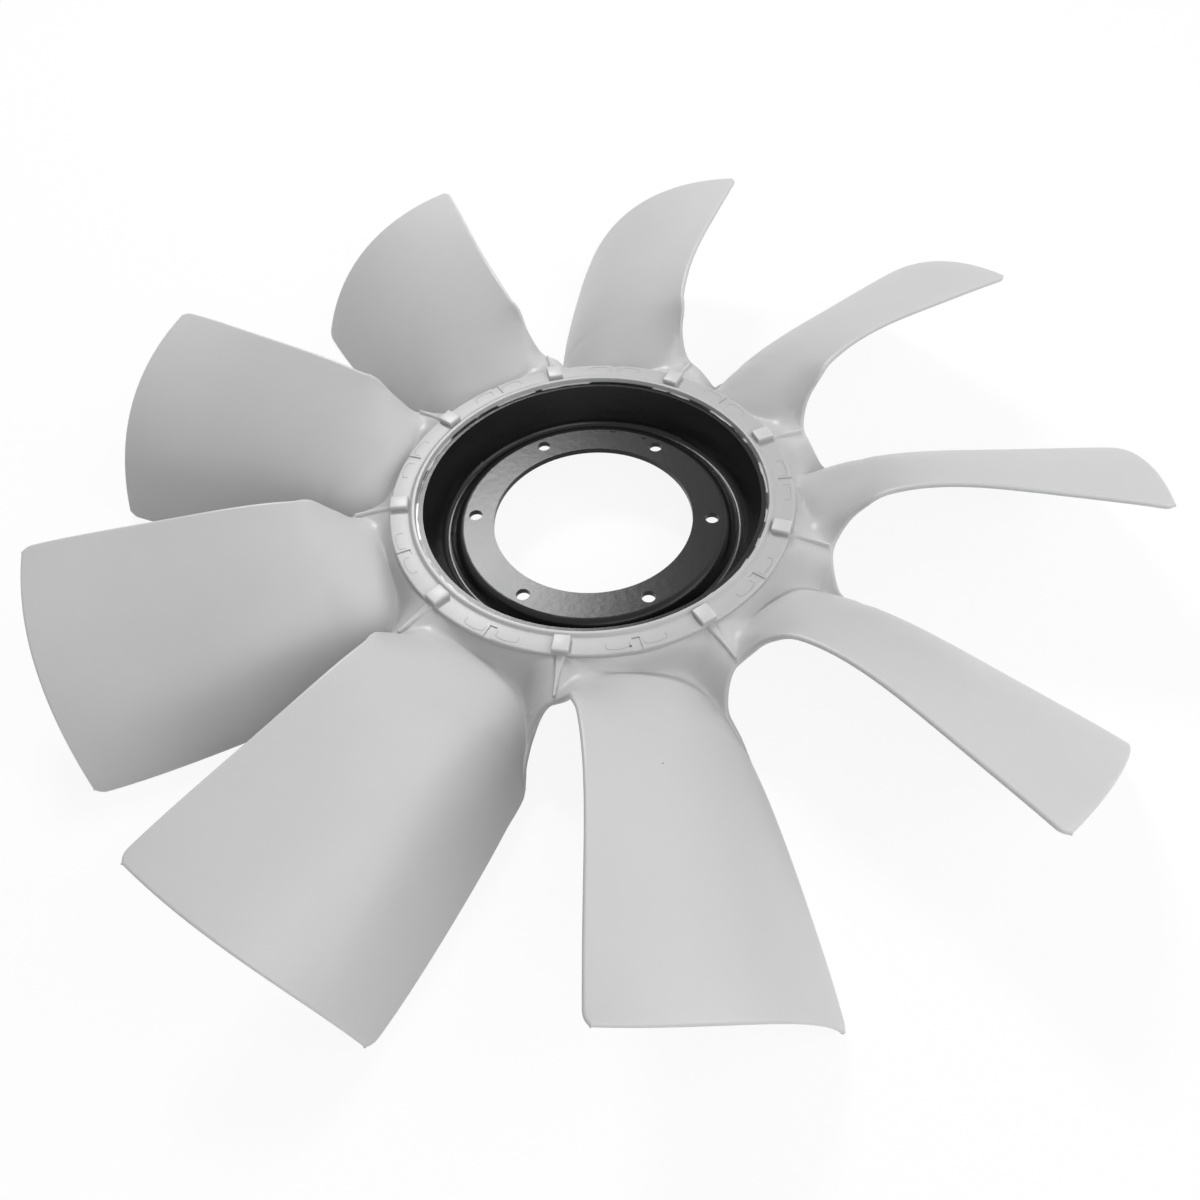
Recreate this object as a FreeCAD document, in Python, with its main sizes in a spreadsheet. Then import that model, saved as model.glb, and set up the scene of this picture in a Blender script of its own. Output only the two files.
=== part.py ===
import FreeCAD, Part
import math
import os
import Sketcher

# Axial fan wheel: a pressed steel disc moulded into a nylon hub ring with nine twisted blades.
# Millimetres. The origin is on the fan's axis, in the front face of the bolt flange; +Z is forward.
# A tab, a rib and the middle of a gap between two blades lie on +X; angles run from there.

doc = FreeCAD.newDocument("axial_fan")

# Driving dimensions
sizes = {
    # steel disc
    "steel_thickness": 4.0,
    "bolt_circle_radius": 80.0,
    "bore_inset": 12.8,
    "flange_margin": 10.5,
    "bolt_hole_radius": 4.6,
    "bolt_count": 6,
    "bolt_phase": 13.9,
    "bead_slope": 50.0,
    "bead_depth": 10.5,
    "wall_slope": 68.5,
    "rim_height": 20.3,
    "flange_bend_radius": 7.0,
    "bead_bend_radius": 4.0,
    # hub ring, measured from the steel's rim
    "land_rise": 2.2,
    "land_width": 17.25,
    "land_step": 1.6,
    "lip_width": 2.8,
    "lip_height": 1.5,
    "ring_foot_height": -9.0,
    "ring_foot_inset": 6.0,
    "ring_grip_depth": 5.0,
    # tabs, ribs and gate marks on the ring
    "tab_width": 10.5,
    "tab_start_distance": 4.75,
    "tab_height": 3.8,
    "rib_width_outer": 2.0,
    "rib_height": 3.0,
    "gate_length": 5.0,
    "gate_width": 9.0,
    "gate_depth": 0.8,
    # blades, with their edges at five radii
    "blade_count": 9,
    "blade_thickness": 3.5,
    "tip_radius": 352.0,
    "tip_corner": 7.0,
    "station_a_distance": 7.0,
    "station_b_step": 30.0,
    "station_c_step": 40.0,
    "station_d_step": 70.0,
    "station_e_step": 72.0,
    "front_angle_a": 1.2,
    "front_angle_b": 5.1,
    "front_angle_c": 7.4,
    "front_angle_d": 7.9,
    "front_angle_e": 7.8,
    "front_height_a": 16.8,
    "front_height_b": 42.4,
    "front_height_c": 55.6,
    "front_height_d": 56.5,
    "front_height_e": 52.2,
    "back_angle_a": 36.5,
    "back_angle_b": 36.0,
    "back_angle_c": 34.4,
    "back_angle_d": 31.2,
    "back_angle_e": 28.4,
    "back_height_a": -34.7,
    "back_height_b": -31.8,
    "back_height_c": -31.7,
    "back_height_d": -35.3,
    "back_height_e": -37.2,
    "camber_a": 14.9,
    "camber_b": 14.9,
    "camber_c": 15.2,
    "camber_d": 17.6,
    "camber_e": 22.2,
    "camber_skew_root": -0.51,
    "camber_skew_tip": -0.14,
    # web between the ring and the blades, and the gap between two blades, measured from the land's edge
    "web_start_inset": 4.0,
    "web_start_depth": 4.0,
    "web_thickness": 5.0,
    "shoulder_inset": 1.0,
    "shoulder_rounding": 3.0,
    "web_fall_mean": 2.0,
    "web_fall_swing": 1.75,
    "web_fall_lean": 0.2,
    "crease_rounding": 5.0,
    "root_drop": 18.9,
    "root_drop_share": 0.44,
    "rib_drop": 30.0,
    "rib_drop_share": 0.1,
    "gap_bottom_distance": 25.5,
    "gap_rounding": 16.0,
    "gap_front_share": 0.185,
    "gap_back_share": 0.1275,
    "blend_start_distance": 13.5,
    "blend_width": 16.0,
    "root_chord_share": 1.02,
    "root_chord_distance": 44.5,
    "chord_change_width": 9.0,
}

sheet = doc.addObject("Spreadsheet::Sheet", "Dims")
for row, (name, value) in enumerate(sizes.items(), start=1):
    sheet.set("A%d" % row, name)
    sheet.set("B%d" % row, str(value))
    sheet.setAlias("B%d" % row, name)
doc.recompute()


def value(name):
    """the number that the sheet holds under a name"""
    return float(sheet.get(name))


def plane(body, role):
    """one of a body's own origin planes or axes"""
    for feature in body.Origin.OriginFeatures:
        if feature.Role == role:
            return feature
    raise ValueError(role)


def sketch_on(body, name, role):
    """a new sketch in a body, on one of its origin planes"""
    sketch = body.newObject("Sketcher::SketchObject", name)
    sketch.AttachmentSupport = [(plane(body, role), "")]
    sketch.MapMode = "FlatFace"
    return sketch


def hold(sketch, constraint, name, expression):
    """add a constraint and tie its value to the sheet"""
    index = sketch.addConstraint(constraint)
    sketch.renameConstraint(index, name)
    sketch.setExpression("Constraints." + name, expression)


def draw_outline(sketch, corners):
    """closed outline of straight lines; each corner is (start x, start y, expression x, expression y)"""
    count = len(corners)
    for i in range(count):
        start = FreeCAD.Vector(corners[i][0], corners[i][1], 0)
        end = FreeCAD.Vector(corners[(i + 1) % count][0], corners[(i + 1) % count][1], 0)
        sketch.addGeometry(Part.LineSegment(start, end), False)
    for i in range(count):
        sketch.addConstraint(Sketcher.Constraint("Coincident", i, 2, (i + 1) % count, 1))
    for i, (x, y, across, up) in enumerate(corners):
        if across == "0":
            sketch.addConstraint(Sketcher.Constraint("PointOnObject", i, 1, -2))
        else:
            hold(sketch, Sketcher.Constraint("DistanceX", -1, 1, i, 1, x), "x%d" % i, across)
        if up == "0":
            sketch.addConstraint(Sketcher.Constraint("PointOnObject", i, 1, -1))
        else:
            hold(sketch, Sketcher.Constraint("DistanceY", -1, 1, i, 1, y), "y%d" % i, up)


def revolve(body, name, sketch):
    """a full turn of a sketch about the axis"""
    turn = body.newObject("PartDesign::Revolution", name)
    turn.Profile = sketch
    turn.ReferenceAxis = (plane(body, "Z_Axis"), [""])
    turn.Angle = 360.0
    sketch.Visibility = False
    return turn


def around(body, name, features, count):
    """copies of features about the axis"""
    pattern = body.newObject("PartDesign::PolarPattern", name)
    pattern.Originals = features
    pattern.Axis = (plane(body, "Z_Axis"), [""])
    pattern.Angle = 360.0
    body.Tip = pattern
    pattern.setExpression("Occurrences", "Dims." + count)
    return pattern


def draw_bent_outline(sketch, corners):
    """closed outline whose corners may be bends: (x, y, expression x, expression y, radius, expression)"""
    count = len(corners)
    points = [FreeCAD.Vector(corner[0], corner[1], 0) for corner in corners]
    entries = []
    exits = []
    for i, corner in enumerate(corners):
        arriving = (points[i] - points[i - 1]).normalize()
        leaving = (points[(i + 1) % count] - points[i]).normalize()
        reach = corner[4] * math.tan(arriving.getAngle(leaving) / 2)
        entries.append(points[i] - arriving * reach)
        exits.append(points[i] + leaving * reach)
    for i in range(count):
        sketch.addGeometry(Part.LineSegment(exits[i], entries[(i + 1) % count]), False)
    for i, (x, y, across, up, radius, radius_text) in enumerate(corners):
        before = (i - 1) % count
        if radius == 0:
            sketch.addConstraint(Sketcher.Constraint("Coincident", before, 2, i, 1))
            place = (i, 1)
        else:
            arriving = (points[i] - points[before]).normalize()
            turn = arriving.cross(exits[i] - points[i]).z
            side = FreeCAD.Vector(-arriving.y, arriving.x, 0) * math.copysign(radius, turn)
            centre = entries[i] + side
            ends = [entries[i], exits[i]] if turn > 0 else [exits[i], entries[i]]
            angles = [math.atan2(end.y - centre.y, end.x - centre.x) for end in ends]
            arc = sketch.addGeometry(
                Part.ArcOfCircle(Part.Circle(centre, FreeCAD.Vector(0, 0, 1), radius), angles[0], angles[1]), False)
            first, last = (1, 2) if turn > 0 else (2, 1)
            sketch.addConstraint(Sketcher.Constraint("Tangent", before, 2, arc, first))
            sketch.addConstraint(Sketcher.Constraint("Tangent", arc, last, i, 1))
            hold(sketch, Sketcher.Constraint("Radius", arc, radius), "r%d" % i, radius_text)
            corner = sketch.addGeometry(Part.Point(points[i]), True)
            sketch.addConstraint(Sketcher.Constraint("PointOnObject", corner, 1, before))
            sketch.addConstraint(Sketcher.Constraint("PointOnObject", corner, 1, i))
            place = (corner, 1)
        if up == "0":
            sketch.addConstraint(Sketcher.Constraint("PointOnObject", place[0], place[1], -1))
        else:
            hold(sketch, Sketcher.Constraint("DistanceY", -1, 1, place[0], place[1], y), "y%d" % i, up)
        hold(sketch, Sketcher.Constraint("DistanceX", -1, 1, place[0], place[1], x), "x%d" % i, across)


# Steel disc: its section is worked out once here, for the sketch and for the ring that grips it
thickness = value("steel_thickness")
bead_slope = math.radians(value("bead_slope"))
wall_slope = math.radians(value("wall_slope"))
pilot_bore = value("bolt_circle_radius") - value("bore_inset")
flange_edge = value("bolt_circle_radius") + value("flange_margin")
bead_radius = flange_edge + value("bead_depth") / math.tan(bead_slope)
rim_inner = bead_radius + (value("rim_height") + value("bead_depth")) / math.tan(wall_slope)
rim_outer = rim_inner + thickness / math.sin(wall_slope)
flange_under = flange_edge - thickness * math.tan(bead_slope / 2)
bead_turn = 1 + math.cos(bead_slope + wall_slope)
bead_under_radius = bead_radius + thickness * (math.sin(wall_slope) - math.sin(bead_slope)) / bead_turn
bead_under_height = -value("bead_depth") - thickness * (math.cos(bead_slope) + math.cos(wall_slope)) / bead_turn

bead_slope_text = "(Dims.bead_slope * 1 deg)"
wall_slope_text = "(Dims.wall_slope * 1 deg)"
pilot_bore_text = "(Dims.bolt_circle_radius - Dims.bore_inset)"
flange_edge_text = "(Dims.bolt_circle_radius + Dims.flange_margin)"
bead_radius_text = "(" + flange_edge_text + " + Dims.bead_depth / tan" + bead_slope_text + ")"
rim_inner_text = "(" + bead_radius_text + " + (Dims.rim_height + Dims.bead_depth) / tan" + wall_slope_text + ")"
rim_outer_text = "(" + rim_inner_text + " + Dims.steel_thickness / sin" + wall_slope_text + ")"
bead_turn_text = "(1 + cos((Dims.bead_slope + Dims.wall_slope) * 1 deg))"
bead_under_radius_text = (
    bead_radius_text + " + Dims.steel_thickness * (sin" + wall_slope_text + " - sin" + bead_slope_text + ") / "
    + bead_turn_text
)
bead_under_height_text = (
    "-Dims.bead_depth - Dims.steel_thickness * (cos" + bead_slope_text + " + cos" + wall_slope_text + ") / "
    + bead_turn_text
)

# Places outside the steel, each measured from the one before it
land_height = value("rim_height") + value("land_rise")
land_radius = rim_outer + value("land_width")
web_start_radius = land_radius - value("web_start_inset")
web_start_height = land_height - value("web_start_depth")
shoulder_radius = land_radius - value("shoulder_inset")
ring_foot_radius = land_radius - value("ring_foot_inset")
gap_bottom_radius = land_radius + value("gap_bottom_distance")
blend_start_radius = gap_bottom_radius + value("blend_start_distance")
blend_end_radius = blend_start_radius + value("blend_width")
root_chord_radius = gap_bottom_radius + value("root_chord_distance")
full_chord_radius = root_chord_radius + value("chord_change_width")
stations = [land_radius + value("station_a_distance")]
for letter in "bcde":
    stations.append(stations[-1] + value("station_%s_step" % letter))

land_height_text = "(Dims.rim_height + Dims.land_rise)"
land_radius_text = "(" + rim_outer_text + " + Dims.land_width)"
web_start_height_text = "(" + land_height_text + " - Dims.web_start_depth)"
gap_bottom_text = "(" + land_radius_text + " + Dims.gap_bottom_distance)"

insert = doc.addObject("PartDesign::Body", "steel_insert")
insert.Label = "steel_insert"
insert_section = sketch_on(insert, "insert_section", "XZ_Plane")
flange_bend = value("flange_bend_radius")
bead_bend = value("bead_bend_radius")
draw_bent_outline(insert_section, [
    (pilot_bore, 0, pilot_bore_text, "0", 0, ""),
    (flange_edge, 0, flange_edge_text, "0", flange_bend, "Dims.flange_bend_radius"),
    (bead_radius, -value("bead_depth"), bead_radius_text, "-Dims.bead_depth", bead_bend,
     "Dims.bead_bend_radius"),
    (rim_inner, value("rim_height"), rim_inner_text, "Dims.rim_height", 0, ""),
    (rim_outer, value("rim_height"), rim_outer_text, "Dims.rim_height", 0, ""),
    (bead_under_radius, bead_under_height, bead_under_radius_text, bead_under_height_text,
     bead_bend + thickness, "Dims.bead_bend_radius + Dims.steel_thickness"),
    (flange_under, -thickness,
     flange_edge_text + " - Dims.steel_thickness * tan" + bead_slope_text.replace(")", " / 2)"),
     "-Dims.steel_thickness", flange_bend - thickness, "Dims.flange_bend_radius - Dims.steel_thickness"),
    (pilot_bore, -thickness, pilot_bore_text, "-Dims.steel_thickness", 0, ""),
])
insert_disc = revolve(insert, "insert_disc", insert_section)
doc.recompute()

bolt_sketch = sketch_on(insert, "bolt_hole_place", "XY_Plane")
phase = math.radians(value("bolt_phase"))
bolt_x = value("bolt_circle_radius") * math.cos(phase)
bolt_y = value("bolt_circle_radius") * math.sin(phase)
bolt_sketch.addGeometry(
    Part.Circle(FreeCAD.Vector(bolt_x, bolt_y, 0), FreeCAD.Vector(0, 0, 1), value("bolt_hole_radius")), False)
hold(bolt_sketch, Sketcher.Constraint("Radius", 0, value("bolt_hole_radius")), "hole", "Dims.bolt_hole_radius")
hold(bolt_sketch, Sketcher.Constraint("DistanceX", -1, 1, 0, 3, bolt_x), "across",
     "Dims.bolt_circle_radius * cos(Dims.bolt_phase * 1 deg)")
hold(bolt_sketch, Sketcher.Constraint("DistanceY", -1, 1, 0, 3, bolt_y), "up",
     "Dims.bolt_circle_radius * sin(Dims.bolt_phase * 1 deg)")
bolt_hole = insert.newObject("PartDesign::Pocket", "bolt_hole")
bolt_hole.Profile = bolt_sketch
bolt_hole.Type = "ThroughAll"
bolt_hole.Midplane = True
bolt_sketch.Visibility = False
around(insert, "bolt_holes", [bolt_hole], "bolt_count")
doc.recompute()

# Hub ring: it grips the disc's wall from outside; its inner side lies in the middle of that wall
grip_text = "(" + rim_outer_text + " - Dims.steel_thickness / 2 / sin" + wall_slope_text + ")"
grip_drop = value("rim_height") + value("ring_grip_depth")
grip_radius = rim_outer - thickness / 2 / math.sin(wall_slope)
grip_foot_radius = grip_radius - grip_drop / math.tan(wall_slope)

ring = doc.addObject("PartDesign::Body", "hub_ring")
ring_section = sketch_on(ring, "ring_section", "XZ_Plane")
draw_outline(ring_section, [
    (grip_radius, value("rim_height"), grip_text, "Dims.rim_height"),
    (rim_outer, value("rim_height"), rim_outer_text, "Dims.rim_height"),
    (rim_outer, land_height + value("lip_height"), rim_outer_text,
     land_height_text + " + Dims.lip_height"),
    (rim_outer + value("lip_width"), land_height, rim_outer_text + " + Dims.lip_width", land_height_text),
    (land_radius - value("land_step") / 2, land_height, land_radius_text + " - Dims.land_step / 2",
     land_height_text),
    (land_radius, land_height - value("land_step"), land_radius_text, land_height_text + " - Dims.land_step"),
    (land_radius, web_start_height - value("web_thickness"), land_radius_text,
     web_start_height_text + " - Dims.web_thickness"),
    (ring_foot_radius, value("ring_foot_height"), land_radius_text + " - Dims.ring_foot_inset",
     "Dims.ring_foot_height"),
    (grip_foot_radius, value("ring_foot_height"),
     grip_text + " - (Dims.rim_height + Dims.ring_grip_depth) / tan" + wall_slope_text, "Dims.ring_foot_height"),
    (grip_foot_radius, -value("ring_grip_depth"),
     grip_text + " - (Dims.rim_height + Dims.ring_grip_depth) / tan" + wall_slope_text,
     "-Dims.ring_grip_depth"),
])
ring_turn = revolve(ring, "ring_turn", ring_section)


def draw_box(sketch, left, right, low, high):
    """rectangle between two pairs of (number, expression)"""
    draw_outline(sketch, [
        (left[0], low[0], left[1], low[1]),
        (right[0], low[0], right[1], low[1]),
        (right[0], high[0], right[1], high[1]),
        (left[0], high[0], left[1], high[1]),
    ])


tab_sketch = sketch_on(ring, "tab_outline", "XZ_Plane")
draw_box(tab_sketch,
         (rim_outer + value("tab_start_distance"), rim_outer_text + " + Dims.tab_start_distance"),
         (land_radius - value("land_step") / 2, land_radius_text + " - Dims.land_step / 2"),
         (land_height - value("land_step"), land_height_text + " - Dims.land_step"),
         (land_height + value("tab_height"), land_height_text + " + Dims.tab_height"))
tab = ring.newObject("PartDesign::Pad", "tab")
tab.Profile = tab_sketch
tab.Midplane = True
tab.setExpression("Length", "Dims.tab_width")
tab_sketch.Visibility = False

# Rib: a wedge as wide as the tab where it leaves the ring, thin at the bottom of the gap
web_fall = value("web_fall_mean") - value("web_fall_swing")
gap_middle = web_start_height - web_fall * (gap_bottom_radius - shoulder_radius)
gap_middle_text = (
    web_start_height_text + " - (Dims.web_fall_mean - Dims.web_fall_swing)"
    + " * (Dims.gap_bottom_distance + Dims.shoulder_inset)"
)
rib_ends = [
    ("rib_inner", land_radius - value("land_step"), land_radius_text + " - Dims.land_step",
     "tab_width", web_start_height, web_start_height_text,
     land_height - value("land_step") / 2, land_height_text + " - Dims.land_step / 2"),
    ("rib_outer", gap_bottom_radius - value("rib_height"), gap_bottom_text + " - Dims.rib_height",
     "rib_width_outer", gap_middle, gap_middle_text,
     gap_middle + value("web_thickness") / 2 + value("rib_height"),
     gap_middle_text + " + Dims.web_thickness / 2 + Dims.rib_height"),
]
rib_sections = []
for name, radius, radius_text, width, low, low_text, high, high_text in rib_ends:
    section = sketch_on(ring, name, "YZ_Plane")
    section.AttachmentOffset = FreeCAD.Placement(FreeCAD.Vector(0, 0, radius), FreeCAD.Rotation())
    section.setExpression("AttachmentOffset.Base.z", radius_text)
    half = value(width) / 2
    draw_box(section, (-half, "-Dims.%s / 2" % width), (half, "Dims.%s / 2" % width),
             (low, low_text), (high, high_text))
    section.Visibility = False
    rib_sections.append(section)
rib = ring.newObject("PartDesign::AdditiveLoft", "rib")
rib.Profile = rib_sections[0]
rib.Sections = [rib_sections[1]]
rib.Ruled = True

around(ring, "tabs_and_ribs", [tab, rib], "blade_count")
doc.recompute()

# Gate mark: a shallow pocket in the land, half way between two tabs
gate_angle = math.pi / value("blade_count")
gate_edge = land_radius - value("land_step") / 2
gate_edge_text = "(" + land_radius_text + " - Dims.land_step / 2)"
gate_sketch = sketch_on(ring, "gate_outline", "XY_Plane")
gate_sketch.AttachmentOffset = FreeCAD.Placement(
    FreeCAD.Vector(0, 0, land_height),
    FreeCAD.Rotation(FreeCAD.Vector(0, 0, 1), math.degrees(gate_angle)))
gate_sketch.setExpression("AttachmentOffset.Base.z", land_height_text)
gate_sketch.setExpression("AttachmentOffset.Rotation.Angle", "180 deg / Dims.blade_count")
draw_box(gate_sketch,
         (gate_edge - value("gate_width"), gate_edge_text + " - Dims.gate_width"),
         (gate_edge, gate_edge_text),
         (-value("gate_length") / 2, "-Dims.gate_length / 2"),
         (value("gate_length") / 2, "Dims.gate_length / 2"))
gate = ring.newObject("PartDesign::Pocket", "gate_mark")
gate.Profile = gate_sketch
gate.setExpression("Length", "Dims.gate_depth")
gate_sketch.Visibility = False
around(ring, "gate_marks", [gate], "blade_count")
doc.recompute()

# Web and blades: one sheet in nine equal sectors. A sector is a function of the radius and of a share
# of its 40 degrees, 0 at one rib and 1 at the next. Outside, it is the twisted and cambered blade. Near
# the ring it is a conical skirt, steepest half way between two ribs, which the blade's root runs into.
sector = 2 * math.pi / value("blade_count")


def through(name, r):
    """polynomial through a value's five sizes at the blade's stations"""
    total = 0.0
    for i, (radius, letter) in enumerate(zip(stations, "abcde")):
        term = value(name + "_" + letter)
        for j, other in enumerate(stations):
            if j != i:
                term *= (r - other) / (radius - other)
        total += term
    return total


def ease(r, start, end):
    """0 before the start, 1 after the end and smooth between them"""
    share = min(max((r - start) / (end - start), 0.0), 1.0)
    return share * share * (3 - 2 * share)


def soft_max(a, b, rounding):
    """the higher of two heights, rounded off where they are nearly the same"""
    return max(a, b) + max(rounding - abs(a - b), 0.0) ** 2 / (4 * rounding)


class Chord:
    """the blade's section at one radius: a line from its front edge to its back edge, and its camber"""

    def __init__(self, r):
        self.radius = r
        self.front = math.radians(through("front_angle", r))
        self.turn = math.radians(through("back_angle", r)) - self.front
        self.top = through("front_height", r)
        self.rise = through("back_height", r) - self.top
        self.run = r * self.turn
        self.length = math.hypot(self.run, self.rise)
        self.camber = through("camber", r)
        out = (r - stations[0]) / (stations[-1] - stations[0])
        self.skew = value("camber_skew_root") + (value("camber_skew_tip") - value("camber_skew_root")) * out

    def bulge(self, share):
        return self.camber * 4 * share * (1 - share) * (1 + self.skew * (1 - 2 * share))

    def point(self, share):
        """angle and height; share is 0 at the front edge and 1 at the back edge"""
        angle = self.front + share * self.turn - self.bulge(share) * self.rise / self.length / self.radius
        height = self.top + share * self.rise + self.bulge(share) * self.run / self.length
        return angle, height

    def height(self, angle):
        """height at an angle; the share that belongs to the angle is found by repeating its formula"""
        even = (angle - self.front) / self.turn
        share = even
        for _ in range(12):
            bulge = self.bulge(min(max(share, 0.0), 1.0))
            share = (share + even + bulge * self.rise / self.length / self.run) / 2
        return self.top + share * self.rise + bulge * self.run / self.length


def web_point(r, share):
    """angle and height of the web: the skirt or the blade's root, whichever is higher"""
    turn = 2 * math.pi * share
    fall = value("web_fall_mean") - value("web_fall_swing") * math.cos(turn) - value("web_fall_lean") * math.sin(turn)
    out = soft_max(r - shoulder_radius, 0.0, value("shoulder_rounding"))
    drop = value("root_drop") * max(1 - share / value("root_drop_share"), 0.0) ** 2
    drop += value("rib_drop") * max(1 - share / value("rib_drop_share"), 0.0) ** 2
    drop *= 1 - ease(r, blend_start_radius, blend_end_radius)
    skirt = web_start_height - fall * out
    root = Chord(r).height(sector * share) - drop
    return sector * share, soft_max(skirt, root, value("crease_rounding"))


def blade_share(share):
    """share of the blade's chord for a share of the sector"""
    width = 1 - value("gap_front_share") - value("gap_back_share")
    return (share - value("gap_front_share")) * value("root_chord_share") / width


def sheet_point(r, share):
    """point of the sheet's middle surface"""
    blend = ease(r, blend_start_radius, blend_end_radius)
    web_angle, web_height = web_point(r, share)
    angle, height = Chord(max(r, blend_start_radius)).point(blade_share(share))
    angle = web_angle + (angle - web_angle) * blend
    height = web_height + (height - web_height) * blend
    return FreeCAD.Vector(r * math.cos(angle), r * math.sin(angle), height)


def sheet_faces(r, share):
    """points of the front and the back of the sheet, half a thickness to each side"""
    step = 0.001
    along = sheet_point(r + step, share) - sheet_point(r - step, share)
    across = sheet_point(r, share + step) - sheet_point(r, share - step)
    normal = along.cross(across).normalize()
    blend = ease(r, web_start_radius, blend_end_radius)
    half = (value("web_thickness") + (value("blade_thickness") - value("web_thickness")) * blend) / 2
    middle = sheet_point(r, share)
    return middle + normal * half, middle - normal * half


def sheet_ends(r):
    """shares of the sector where the sheet starts and ends at one radius"""
    past = min(max((r - gap_bottom_radius) / value("gap_rounding"), 0.0), 1.0)
    opening = math.sqrt(1 - (1 - past) ** 2)
    width = 1 - value("gap_front_share") - value("gap_back_share")
    full = ease(r, root_chord_radius, full_chord_radius)
    corner = max(r - value("tip_radius") + value("tip_corner"), 0.0) / value("tip_corner")
    missing = 1 - math.sqrt(max(1 - corner ** 2, 0.0))
    inset = value("tip_corner") * missing / Chord(r).length * width / value("root_chord_share")
    start = value("gap_front_share") * opening + inset
    end = 1 - value("gap_back_share") * opening + full * (1 / value("root_chord_share") - 1) * width - inset
    return start, end


def knots(count):
    """knots and their multiplicities for a cubic spline through a number of poles"""
    inner = count - 4
    return [float(i) for i in range(inner + 2)], [4] + [1] * inner + [4]


def patch(rows, columns):
    """front and back spline surfaces over rows of radii; both share one set of rows and columns"""
    front = []
    back = []
    for r in rows:
        start, end = sheet_ends(r)
        pairs = [sheet_faces(r, start + (end - start) * column) for column in columns]
        front.append([pair[0] for pair in pairs])
        back.append([pair[1] for pair in pairs])
    row_knots, row_mults = knots(len(rows))
    column_knots, column_mults = knots(len(columns))
    surfaces = []
    for grid in (front, back):
        surface = Part.BSplineSurface()
        surface.buildFromPolesMultsKnots(
            grid, row_mults, column_mults, row_knots, column_knots, False, False, 3, 3)
        surfaces.append(surface)
    return surfaces


def edge_face(surfaces, side):
    """face between the front and the back surface along one side of a patch"""
    curves = []
    for surface in surfaces:
        u_start, u_end, v_start, v_end = surface.bounds()
        if side == "first_row":
            curves.append(surface.uIso(u_start))
        elif side == "last_row":
            curves.append(surface.uIso(u_end))
        elif side == "first_column":
            curves.append(surface.vIso(v_start))
        else:
            curves.append(surface.vIso(v_end))
    strip = Part.BSplineSurface()
    strip.buildFromPolesMultsKnots(
        [curve.getPoles() for curve in curves], [2, 2], curves[0].getMultiplicities(),
        [0.0, 1.0], curves[0].getKnots(), False, False, 1, 3)
    return strip.toShape()


columns = [0, 0.04, 0.1, 0.2, 0.36, 0.54, 0.72, 0.86, 0.95, 1]
web_reach = gap_bottom_radius - web_start_radius
web_rows = [web_start_radius + web_reach * share for share in (0, 0.16, 0.36, 0.65, 1)]
turn_rows = [gap_bottom_radius + value("gap_rounding") * (1 - math.cos(math.radians(22.5 * i)))
             for i in range(5)]
blade_start = gap_bottom_radius + value("gap_rounding")
blade_reach = value("tip_radius") - value("tip_corner") - blade_start
blade_rows = [blade_start + blade_reach * share for share in (0.04, 0.085, 0.14, 0.19, 0.255, 0.44, 0.74)]
corner_rows = [value("tip_radius") + value("tip_corner") * (math.sin(math.radians(45 * i)) - 1)
               for i in range(3)]
web_patch = patch(web_rows, columns)
blade_patch = patch(turn_rows + blade_rows + corner_rows, columns)

faces = [surface.toShape() for surface in web_patch + blade_patch]
faces.append(edge_face(web_patch, "first_row"))
faces.append(edge_face(blade_patch, "last_row"))
faces.append(edge_face(blade_patch, "first_column"))
faces.append(edge_face(blade_patch, "last_column"))
all_faces = []
for i in range(int(value("blade_count"))):
    for face in faces:
        copy = face.copy()
        copy.rotate(FreeCAD.Vector(0, 0, 0), FreeCAD.Vector(0, 0, 1), math.degrees(sector) * i)
        all_faces.append(copy)
sewn = Part.Compound(all_faces)
sewn.sewShape()
blades = doc.addObject("Part::Feature", "web_and_blades")
blades.Shape = Part.makeSolid(sewn.Shells[0])

# Moulding: ring, web and blades in one piece, less the steel that it is moulded round
joined = doc.addObject("Part::MultiFuse", "ring_and_blades")
joined.Shapes = [ring, blades]
moulding = doc.addObject("Part::Cut", "fan_moulding")
moulding.Base = joined
moulding.Tool = insert
moulding.Label = "fan_moulding"
doc.recompute()

# Check every object, then write one file for each piece
for item in doc.Objects:
    if "Invalid" in item.State or "Error" in item.State:
        raise RuntimeError("%s did not recompute: %s" % (item.Name, item.State))
os.makedirs("parts", exist_ok=True)
for piece in (moulding, insert):
    if piece.Shape.isNull() or not piece.Shape.isValid() or len(piece.Shape.Solids) != 1:
        raise RuntimeError("%s has no single sound solid" % piece.Label)
    piece.Shape.exportStep("parts/%s.step" % piece.Label)
    print(piece.Label, round(piece.Shape.Volume / 1000), "cm3", piece.Shape.BoundBox)
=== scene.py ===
import math

import bmesh
import bpy
import numpy as np
from mathutils import Matrix, Vector


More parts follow.
